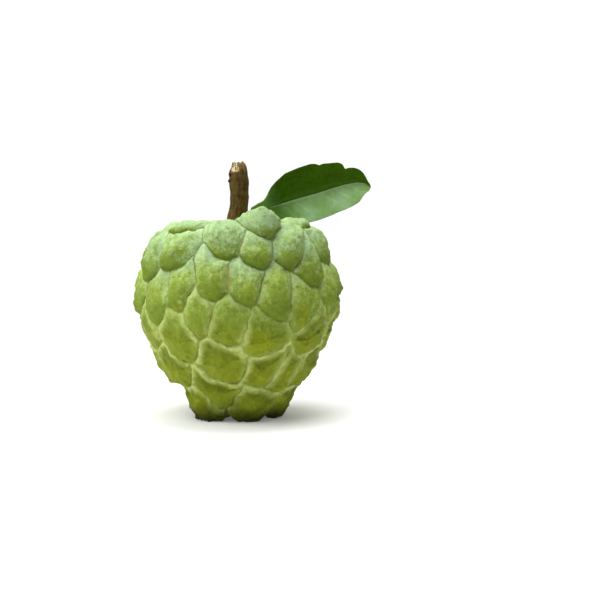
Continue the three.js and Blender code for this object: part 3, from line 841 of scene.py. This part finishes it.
def buildLeaf():
    bpy.ops.object.select_all(action="DESELECT")
    bpy.ops.mesh.primitive_grid_add(x_subdivisions=leaf["along"], y_subdivisions=leaf["across"], size=2)
    piece = bpy.context.active_object
    piece.name = "greenLeaf"
    grid = pointsOf(piece)
    share, across = (grid[:, 0] + 1) / 2, grid[:, 1]
    storeAttribute(piece, "share", share)
    storeAttribute(piece, "across", across)
    setPoints(piece, bladePoints(share, across))
    bpy.ops.object.mode_set(mode="EDIT")
    bpy.ops.mesh.select_all(action="SELECT")
    if piece.data.polygons[0].normal.y > 0:      # the front of the blade faces forward
        bpy.ops.mesh.flip_normals()
    bpy.ops.object.mode_set(mode="OBJECT")

    # grooves along the midrib and the side veins, and a gentle ripple toward the margin
    away = np.abs(across)
    depth, halfWidth = leaf["groove"]
    raiseSurface(piece, "midribGroove", -depth, hump(away, 0, halfWidth))
    phase = (share - leaf["veinSlant"] * away) * leaf["sideVeins"]
    setIn, fadeFrom, fadeTo = leaf["veinReach"]
    reach = smoothStep(away, 0, setIn) * (1 - smoothStep(away, fadeFrom, fadeTo))
    raiseSurface(piece, "sideVeins", -leaf["veinDepth"],
                 hump(phase - np.round(phase), 0, leaf["veinHalfWidth"]) * reach)
    storeAttribute(piece, "veinPhase", phase)
    rise, size = leaf["ripple"]
    raiseSurface(piece, "ripple", rise, smoothStep(away, leaf["rippleFrom"], 1), size)
    applyModifier(piece, "thickness", "SOLIDIFY", thickness=leaf["thickness"], offset=0)
    applyModifier(piece, "rounding", "SUBSURF", levels=1, render_levels=1)

    joinAll(piece, [taperedStem("leafStem", stemLine() + ribLine())])
    finishPiece(piece, "leaf", leafMaterial())


def stemLine():
    return [(x * mm, y * mm, z * mm, thick * mm / 2) for x, y, z, thick in leaf["stem"]]


def ribLine():
    # just behind the blade, and thinner toward the tip
    shares = np.array(leaf["ribShares"])
    atFoot, atTip = leaf["ribRadius"]
    places = bladePoints(shares, np.zeros(len(shares)))
    return [(x, y + leaf["ribBehind"], z, atFoot + (atTip - atFoot) * share)
            for (x, y, z), share in zip(places, shares)]


def taperedStem(name, line):
    # a round stem through the points, each with its own radius
    curve = bpy.data.curves.new(name, "CURVE")
    curve.dimensions = "3D"
    curve.bevel_depth = 1.0
    curve.bevel_resolution = 3
    curve.use_fill_caps = True
    curve.resolution_u = 6
    spline = curve.splines.new("BEZIER")
    spline.bezier_points.add(len(line) - 1)
    for point, (x, y, z, radius) in zip(spline.bezier_points, line):
        point.co = (x, y, z)
        point.radius = radius
        point.handle_left_type = point.handle_right_type = "AUTO"
    stem = bpy.data.objects.new(name, curve)
    scene.collection.objects.link(stem)
    selectOnly(stem)
    bpy.ops.object.convert(target="MESH")
    return stem


def lineAlong(s, across, middle, start, end):
    # a line that runs along the blade, at its own place across
    return s.fade(s.absolute(across - middle), start, end)


def leafMaterial():
    s = Shader("leafGreen", roughness=0.55, specular=0.04)
    s.surface.inputs["Coat Roughness"].default_value = 0.38
    place = s.place()
    across, share, phase = s.attribute("across"), s.attribute("share"), s.attribute("veinPhase")
    patch, fine = s.noise(place, *leaf["patch"]), s.noise(place, *leaf["fine"])
    fromRib = s.absolute(across)
    upper = s.ramp(across, -0.01, 0.02)
    # distance to the nearest side vein, 0 on it and 0.5 between two
    fromVein = s.node("ShaderNodeMath", {"operation": "PINGPONG"}, {0: phase + (fine - 0.5) * 0.1, 1: 0.5})
    vein = s.fade(fromVein, 0.02, 0.2) * s.fade(fromRib, 0.4, 0.9) * s.ramp(patch, 0.35, 0.6)

    # painted light and a painted sheen on the lower half; it is darker beside the midrib, and dark at the
    # leaf's foot
    paintedLitSide = s.mix(s.ramp(patch + (fine - 0.5) * 0.3, 0.3, 0.7), leaf["paleGreen"], leaf["paintedSheen"])
    paintedLitSide = s.mix(vein * 0.5, paintedLitSide, leaf["vein"])
    paintedLitSide = s.mix(s.ramp(share, *leaf["tipShares"]) * 0.7, paintedLitSide, leaf["tipGreen"])
    paintedLitSide = s.mix(s.fade(fromRib, 0.08, 0.5) * 0.45, paintedLitSide, leaf["green"])
    foot = s.fade(share + (patch - 0.5) * 0.2, *leaf["footShares"]) * s.ramp(fromRib, 0.03, 0.12)
    paintedLitSide = s.mix(foot * 0.7, paintedLitSide, leaf["darkGreen"])
    # painted shade on the upper half, which is paler beside the midrib and at the foot
    paintedShadeSide = s.mix(s.ramp(fine * 0.5 + patch * 0.5, 0.4, 0.62), leaf["darkGreen"], leaf["darkest"])
    paintedShadeSide = s.mix(s.fade(fromRib, 0.03, 0.3) * 0.45, paintedShadeSide, leaf["green"])
    paleFoot = s.fade(share + (patch - 0.5) * 0.1, *leaf["footGreenShares"])
    paintedShadeSide = s.mix(paleFoot * 0.8, paintedShadeSide, leaf["footGreen"])
    paintedShadeSide = s.mix(vein * 0.12, paintedShadeSide, leaf["green"])
    colour = s.mix(upper, paintedLitSide, paintedShadeSide)
    # a dark line along the midrib with a pale one under it, and a thin pale margin
    colour = s.mix(lineAlong(s, across, *leaf["paleLine"]) * 0.6, colour, leaf["vein"])
    colour = s.mix(lineAlong(s, across, *leaf["darkLine"]) * 0.6, colour, leaf["darkest"])
    colour = s.mix(s.ramp(fromRib, *leaf["margin"]) * (1.0 - upper) * 0.6, colour, leaf["vein"])
    return s.finish(Base_Color=colour, Coat_Weight=(1.0 - upper) * (1.0 - foot) * 0.6,
                    Roughness=0.5 + (fine - 0.5) * 0.3,
                    Normal=s.bump(s.noise(place, *leaf["pores"]) + vein * 0.6, 0.3, 0.2 * mm))


def buildFloor():
    bpy.ops.object.select_all(action="DESELECT")
    bpy.ops.mesh.primitive_plane_add(size=4, location=(0, 0, 0))
    floor = bpy.context.active_object
    floor.name = "floor"
    s = Shader("whiteFloor", roughness=0.9, specular=0.0)
    shade = studio["floorShade"]
    s.finish(Base_Color=(shade, shade, shade, 1), Emission_Color=(1, 1, 1, 1),
             Emission_Strength=studio["floorGlow"])
    reach = s.node("ShaderNodeVectorMath", {"operation": "LENGTH"}, {0: s.place()}, out="Value")
    edge = s.ramp(reach, *studio["floorEdge"])
    clear = s.node("ShaderNodeBsdfTransparent")
    floorLook = s.node("ShaderNodeMixShader", {}, {0: edge, 1: Value(s, s.surface.outputs[0]), 2: clear})
    s.tree.links.new(floorLook.socket, s.tree.nodes["Material Output"].inputs["Surface"])
    floor.data.materials.append(s.material)


placeCamera()
placeLights()
buildFloor()
print("studio ready")
buildFruit()
buildStalk()
buildLeaf()
